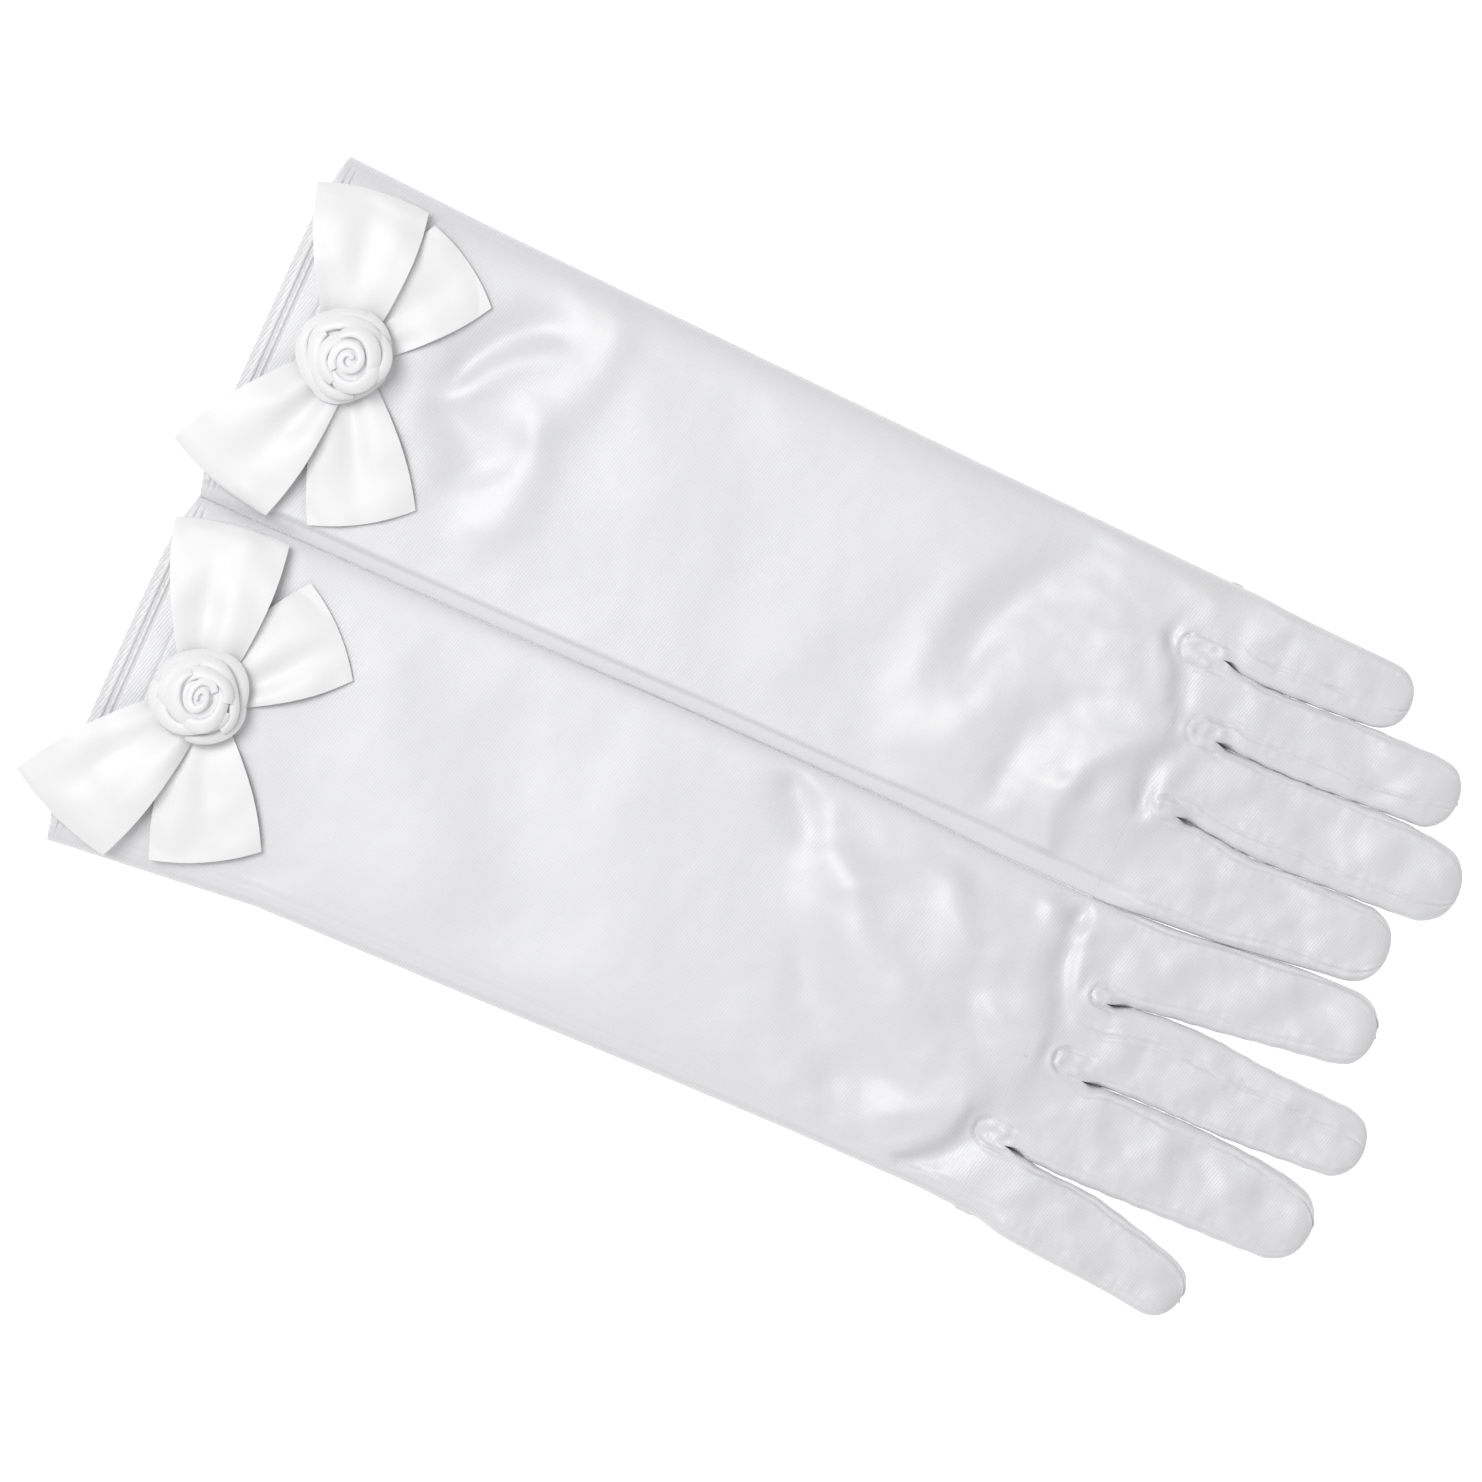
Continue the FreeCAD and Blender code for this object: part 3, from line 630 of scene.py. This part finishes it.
def ribbon_frame(glove, angle):
    """Bow centre and the directions along and across a ribbon, in glove millimetres."""
    a = math.radians(angle)
    centre = np.array(BOWS[glove])
    return centre, np.array([math.cos(a), math.sin(a)]), np.array([-math.sin(a), math.cos(a)])


def make_ribbon(glove, side, ribbon):
    """A gathered ribbon: a loop folded back at its end, or a single flared tail."""
    angle, reach, half_root, half_end, slant = RIBBON_SHAPES[glove][ribbon]
    centre, out, across = ribbon_frame(glove, angle)
    loop = ribbon.startswith("loop")
    number = RIBBONS.index(ribbon) + (4 if glove == "right" else 0)
    wide = np.linspace(-1, 1, 61)
    rows = []
    steps = np.linspace(0, 1, 120 if loop else 64)
    for q in steps:
        if loop:
            u = 1 - abs(1 - 2 * q)
            upper = q > 0.5
            turn = smooth((u - 0.90) / 0.10)
        else:
            u, upper, turn = q, True, 0.0
        r = GATHERED + (reach - GATHERED) * (1 - (1 - u) ** 1.05 if loop else u)
        out_share = float(np.clip((r - 7.5) / (reach - 7.5), 0, 1))
        flare = smooth(out_share**0.82)
        half = half_root + (half_end - half_root) * (0.2 * flare + 0.8 * out_share**0.66)
        half *= 1 + 0.07 * math.sin(math.pi * out_share)
        if not upper:
            half *= 0.985
        pleats = 1.5 + 0.6 * ((number * 37) % 5) / 4
        phase = 0.9 * number + 0.4
        gathers = np.cos(math.pi * pleats * wide + phase)
        sharp = gathers * (0.8 + 0.3 * np.sin(2.3 * wide + number))
        ridge_fade = math.exp(-((r - GATHERED) / 15.0) ** 1.8)
        valley = 1.5 * math.exp(-(((r - 0.55 * reach) / (0.30 * reach)) ** 2))
        centre_dip = -valley * np.exp(-(((wide - 0.25 * math.sin(number * 2.1)) / 0.34) ** 2))
        swell = math.sin(math.pi * min(max((r - 9) / (reach - 9), 0), 1)) ** 0.8
        edge_drop = -1.0 * np.abs(wide) ** 3 * (0.4 + 0.6 * flare)
        soft = 0.55 * ripple(r, wide * half + 40 * number, 8.5, 40.0 + number) * (1 - ridge_fade)
        if loop and upper:
            z = 2.6 + 2.9 * swell + sharp * ridge_fade + centre_dip + edge_drop + soft
        elif loop:
            z = 0.3 + 0.35 * swell + 0.15 * sharp * ridge_fade
        else:
            z = 0.55 + 1.9 * swell * (1 - 0.35 * flare) + 0.75 * sharp * ridge_fade
            z = z + 0.8 * centre_dip + 0.6 * edge_drop + 0.8 * soft
            z = z + 0.9 * smooth((r - 0.8 * reach) / (0.2 * reach)) * wide * math.sin(number)
            z = np.maximum(z, 0.25)
        if loop:
            middle = 1.35 + 0.25 * np.cos(3 * wide + number)
            bend = (1.05 if upper else -1.05) * math.sqrt(max(1 - turn * turn, 0))
            z = z * (1 - turn) + (middle + bend) * turn
            z = np.maximum(z, 0.2)
        bulge = 1.7 * (1 - wide**2)
        along = r + flare * (slant * wide * 0.5 + bulge - 0.9)
        spread = wide * half
        xy = centre[None] + along[:, None] * out[None] + spread[:, None] * across[None]
        low, high = edges(glove, np.clip(xy[:, 0], 0, 200))
        under = back_height(glove, np.maximum(xy[:, 0], 13.0), np.clip(xy[:, 1], low + 9, high - 9))
        rest = 0.5 * under + 0.5 * (BOW_BASE - 1.3)
        rows.append(np.stack([xy[:, 0], xy[:, 1], np.maximum(rest, under) + 0.25 + z], -1))
    verts = place(np.array(rows), side).reshape(-1, 3)
    faces = grid_faces(len(steps), len(wide), False)
    obj = new_object(f"{glove}_bow_{ribbon}_ribbon", verts, faces)
    thicken(obj, RIBBON_CLOTH, offset=0.0)
    outward(obj)
    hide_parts(f"{glove}_bow_{ribbon}")
    obj.data.materials.append(RIBBON)
    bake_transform(obj)


def circle(at, r, phi, z, narrow=1.0):
    """Points at radius r about at, at the angles phi. narrow squeezes them along x."""
    return np.stack([at[0] + narrow * r * np.cos(phi), at[1] + r * np.sin(phi), 0 * phi + z], -1)


def petal(at, turn, span, foot, lip, low, high, band, wrap, seed):
    """One folded petal: its wall rises from foot to lip radius, then a broad band rolls outward."""
    around = np.linspace(-1, 1, 45)
    phi = turn + around * span / 2
    uneven = 1 + 0.035 * np.sin(3 * around + seed) + 0.06 * np.cos(3 * phi + seed)
    crown = 1 - 0.12 * np.abs(around) ** 3
    lean = 0.7 * np.sin(1.4 * around + 0.5 * seed)
    shift = wrap * around
    lines = []
    for t in np.linspace(0, 1, 10):
        r = (foot + (lip - foot) * t) * uneven + shift
        lines.append(circle(at, r, phi, low + ((high - low) * crown + lean) * t))
    r_top = lip * uneven + shift
    z_top = low + (high - low) * crown + lean
    wide = band * (1 - 0.30 * np.abs(around) ** 3 + 0.15 * np.sin(2.6 * around + 2 * seed))
    for t in np.linspace(0, 1, 16)[1:]:
        a = t * math.radians(118)
        z = z_top + 0.40 * band * (math.sin(a) - 1.5 * t * t)
        lines.append(circle(at, r_top + wide * (1 - math.cos(a)) / 1.35, phi, z))
    return np.array(lines)


def join_petals(name, side, petals, thickness):
    """Several grids of points as one piece of ribbon."""
    verts, faces, first = [], [], 0
    for lines in petals:
        verts.append(place(lines, side).reshape(-1, 3))
        faces += [tuple(first + k for k in f) for f in grid_faces(lines.shape[0], lines.shape[1], False)]
        first += lines.shape[0] * lines.shape[1]
    obj = new_object(name, np.concatenate(verts), faces)
    thicken(obj, thickness, offset=0.0)
    outward(obj)
    return obj


def rose_floor(at, base, profile, narrow=1.0):
    """The gathered ribbon seen at the bottom of the gaps between petals: (radius, height) pairs."""
    around = np.linspace(0, math.tau, 61)
    return np.array([circle(at, r, around, base + z, narrow) for r, z in profile])


def make_rose(glove, side):
    """The rolled ribbon rose: a spiral bud, inner petals and the broad folded outer petals."""
    left = glove == "left"
    bow = np.array(BOWS[glove])
    at = bow + (np.array([1.9, -1.0]) if left else np.array([0.4, 0.2]))
    spin = 0.6 if left else 2.2
    base = BOW_BASE + 1.0
    turns = np.linspace(0, 1, 170)
    narrow = 0.95 if left else 0.72
    phi = spin + turns * math.radians(560)
    lines = []
    for t in np.linspace(0, 1, 10):
        r = 0.35 + 2.9 * turns + 0.3 * t * turns
        lines.append(circle(at, r, phi, base + 3.5 + (7.0 - 1.9 * turns**2) * t, narrow))
    for t in np.linspace(0, 1, 12)[1:]:
        a = t * math.radians(115)
        r = 0.35 + 3.2 * turns + (0.75 + 0.75 * turns) * (1 - math.cos(a))
        z = base + 10.5 - 1.9 * turns**2 + 0.45 * math.sin(a) - 0.5 * t * t
        lines.append(circle(at, r, phi, z, narrow))
    heart = rose_floor(at, base, ((0.05, 9.4), (1.2, 9.3), (2.4, 9.0), (3.4, 8.4), (4.4, 7.6)), narrow)
    bud = join_petals(f"{glove}_rose_bud_ribbon", side, [np.array(lines), heart], BUD_CLOTH)
    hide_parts(f"{glove}_rose_bud")
    third = math.tau / 3
    inner = [
        petal(
            at, turn=spin + 0.4 + k * third, span=2.75, foot=3.4, lip=4.9,
            low=base + 3.0, high=base + 8.3 - 0.35 * k, band=2.9, wrap=0.75, seed=k + 1.0,
        )
        for k in range(3)
    ]
    inner.append(rose_floor(at, base, ((3.2, 8.0), (4.4, 7.9), (6.0, 7.2), (8.0, 5.4))))
    inner_obj = join_petals(f"{glove}_rose_inner_ribbon", side, inner, RIBBON_CLOTH)
    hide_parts(f"{glove}_rose_inner_petals")
    middle = at * 0.5 + bow * 0.5
    outer = [
        petal(
            middle, turn=spin + 1.3 + k * third, span=2.6, foot=5.0, lip=7.3,
            low=base + 1.5, high=base + 6.0 + 0.3 * k, band=2.7, wrap=0.8, seed=k + 4.0,
        )
        for k in range(3)
    ]
    outer += [
        petal(
            bow, turn=spin + 1.5 + k * math.tau / 4, span=1.9, foot=6.6, lip=9.3,
            low=base - 0.6, high=base + 3.4 + 0.3 * (k % 3), band=2.6, wrap=0.6, seed=k + 9.0,
        )
        for k in range(4)
    ]
    outer.append(rose_floor(middle, base, ((5.6, 5.7), (7.0, 5.4), (8.6, 4.6), (10.4, 2.8))))
    outer_obj = join_petals(f"{glove}_rose_outer_ribbon", side, outer, OUTER_PETAL_CLOTH)
    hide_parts(f"{glove}_rose_outer_petals")
    for obj, width in ((bud, 0.012), (inner_obj, 0.012), (outer_obj, 0.010)):
        obj.data.materials.append(RIBBON)
        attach(obj, f"{glove}_sleeve")


def make_knot(glove, side):
    """The gathered middle of the bow, mostly hidden by the rose."""
    at = np.array(BOWS[glove])
    phi = np.linspace(0, math.tau, 97)[:-1]
    rows = []
    crown, foot = 3.2, -1.1
    profile = ((3.0, crown), (6.0, 3.0), (8.5, 2.4), (9.9, 1.3), (10.2, 0.3), (9.6, -0.9), (6.0, foot))
    for r, z in profile:
        bump = (r / 10) * 0.55 * np.cos(16 * phi)
        rows.append(circle(at, r + 0.3 * bump, phi, BOW_BASE + z + (bump if z > 0 else 0 * bump)))
    points = np.array(rows)
    n = len(phi)
    extra = np.array([[*at, BOW_BASE + crown], [*at, BOW_BASE + foot]])
    verts = np.concatenate([place(points, side).reshape(-1, 3), place(extra, side)])
    faces = grid_faces(len(points), n, True)
    top, bottom = len(verts) - 2, len(verts) - 1
    last = (len(points) - 1) * n
    faces += [((j + 1) % n, j, top) for j in range(n)]
    faces += [(last + j, last + (j + 1) % n, bottom) for j in range(n)]
    obj = new_object(f"{glove}_bow_knot_ribbon", verts, faces)
    outward(obj)
    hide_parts(f"{glove}_bow_knot")
    obj.data.materials.append(RIBBON)
    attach(obj, f"{glove}_sleeve")


# ---- materials ----------------------------------------------------------------------------------


def cloth_material(name, colour, rough, gloss, sheen, weave, twill, bump, shade, stretch):
    """Woven satin: fine diagonal twill lines, a slightly uneven finish and a soft sheen.

    twill is the lines' angle in degrees, shade how dark they are, and stretch lengthens them.
    """
    mat = bpy.data.materials.new(name)
    mat.use_nodes = True
    nodes, links = mat.node_tree.nodes, mat.node_tree.links
    shader = nodes["Principled BSDF"]
    shader.inputs["Roughness"].default_value = rough
    shader.inputs["Specular IOR Level"].default_value = gloss
    shader.inputs["Sheen Weight"].default_value = sheen
    shader.inputs["Sheen Roughness"].default_value = 0.45
    shader.inputs["Base Color"].default_value = (*colour, 1)
    place_node = nodes.new("ShaderNodeTexCoord")
    turn = nodes.new("ShaderNodeMapping")
    turn.inputs["Rotation"].default_value = (0, 0, math.radians(twill))
    turn.inputs["Scale"].default_value = (1, stretch, 1)
    links.new(place_node.outputs["Object"], turn.inputs["Vector"])
    lines = nodes.new("ShaderNodeTexWave")
    lines.wave_type = "BANDS"
    lines.bands_direction = "X"
    lines.inputs["Scale"].default_value = weave
    lines.inputs["Distortion"].default_value = 1.2
    lines.inputs["Detail"].default_value = 2.0
    lines.inputs["Detail Scale"].default_value = 1.5
    links.new(turn.outputs["Vector"], lines.inputs["Vector"])
    grain = nodes.new("ShaderNodeTexNoise")
    grain.inputs["Scale"].default_value = weave * 6
    grain.inputs["Detail"].default_value = 3.0
    links.new(place_node.outputs["Object"], grain.inputs["Vector"])
    mixed = nodes.new("ShaderNodeMix")
    mixed.data_type = "FLOAT"
    mixed.inputs[0].default_value = 0.6
    links.new(lines.outputs["Fac"], mixed.inputs[2])
    links.new(grain.outputs["Fac"], mixed.inputs[3])
    ramp = nodes.new("ShaderNodeValToRGB")
    dark = tuple(c * shade for c in colour)
    ramp.color_ramp.elements[0].color = (*dark, 1)
    ramp.color_ramp.elements[0].position = 0.2
    ramp.color_ramp.elements[1].color = (*colour, 1)
    ramp.color_ramp.elements[1].position = 0.75
    links.new(mixed.outputs[0], ramp.inputs["Fac"])
    links.new(ramp.outputs["Color"], shader.inputs["Base Color"])
    raised = nodes.new("ShaderNodeBump")
    raised.inputs["Strength"].default_value = bump
    raised.inputs["Distance"].default_value = 0.0002
    links.new(mixed.outputs[0], raised.inputs["Height"])
    links.new(raised.outputs["Normal"], shader.inputs["Normal"])
    return mat


SATIN = cloth_material(
    "satin_cloth", (0.735, 0.735, 0.748), rough=0.42, gloss=1.0, sheen=0.15,
    weave=540, twill=38, bump=0.35, shade=0.91, stretch=0.35,
)
RIBBON = cloth_material(
    "ribbon_cloth", (0.83, 0.83, 0.838), rough=0.48, gloss=0.6, sheen=0.2,
    weave=620, twill=12, bump=0.15, shade=0.96, stretch=0.4,
)

for glove, side in SIDES.items():
    make_glove_cloth(glove, side)
    for finger in FINGERS:
        make_finger(glove, side, finger)
    make_thumb(glove, side)
    make_knot(glove, side)
    for ribbon in RIBBONS:
        make_ribbon(glove, side, ribbon)
    make_rose(glove, side)

# ---- floor, light and camera --------------------------------------------------------------------

# It lies well below, so that hands and fingers bent downwards at their limits stay in sight.
FLOOR_SIZE, FLOOR_Z = 30, -0.16
bpy.ops.mesh.primitive_plane_add(size=FLOOR_SIZE, location=(0, 0, FLOOR_Z))
floor = bpy.context.object
floor.name = "floor"
white = bpy.data.materials.new("floor_white")
white.use_nodes = True
floor_shader = white.node_tree.nodes["Principled BSDF"]
floor_shader.inputs["Base Color"].default_value = (0.95, 0.95, 0.95, 1)
floor_shader.inputs["Roughness"].default_value = 0.9
floor_shader.inputs["Specular IOR Level"].default_value = 0.1
floor_shader.inputs["Emission Color"].default_value = (1, 1, 1, 1)
floor_shader.inputs["Emission Strength"].default_value = 0.55
floor.data.materials.append(white)


def area_light(name, at, size, watts):
    """A soft rectangular light, pointed at the middle of the gloves."""
    lamp = bpy.data.lights.new(name, "AREA")
    lamp.shape = "RECTANGLE"
    lamp.size, lamp.size_y = size
    lamp.energy = watts
    obj = bpy.data.objects.new(name, lamp)
    obj.location = at
    obj.rotation_mode = "QUATERNION"
    obj.rotation_quaternion = (-Vector(at)).to_track_quat("-Z", "Y")
    bpy.context.scene.collection.objects.link(obj)


area_light("key", (-0.62, 0.12, 1.25), (0.55, 0.75), 11.5)
area_light("side", (0.1, -1.2, 1.1), (1.0, 0.8), 4.2)
area_light("rim", (0.7, 0.9, 1.2), (0.9, 0.9), 2.8)
world = bpy.data.worlds.new("studio")
world.use_nodes = True
world.node_tree.nodes["Background"].inputs["Color"].default_value = (1, 1, 1, 1)
world.node_tree.nodes["Background"].inputs["Strength"].default_value = 0.40
bpy.context.scene.world = world
bpy.context.scene.view_settings.view_transform = "Standard"

# It looks straight down, with the gloves running down across the picture.
ROLL = math.radians(24)
camera_data = bpy.data.cameras.new("camera")
camera_data.sensor_width = 36
camera_data.lens = 194.3
camera_data.clip_start, camera_data.clip_end = 0.1, 2 * FLOOR_SIZE
camera = bpy.data.objects.new("camera", camera_data)
camera.location = (-0.0101, -0.0009, 2.0)
camera.rotation_euler = (0, 0, ROLL)
bpy.context.scene.collection.objects.link(camera)
bpy.context.scene.camera = camera
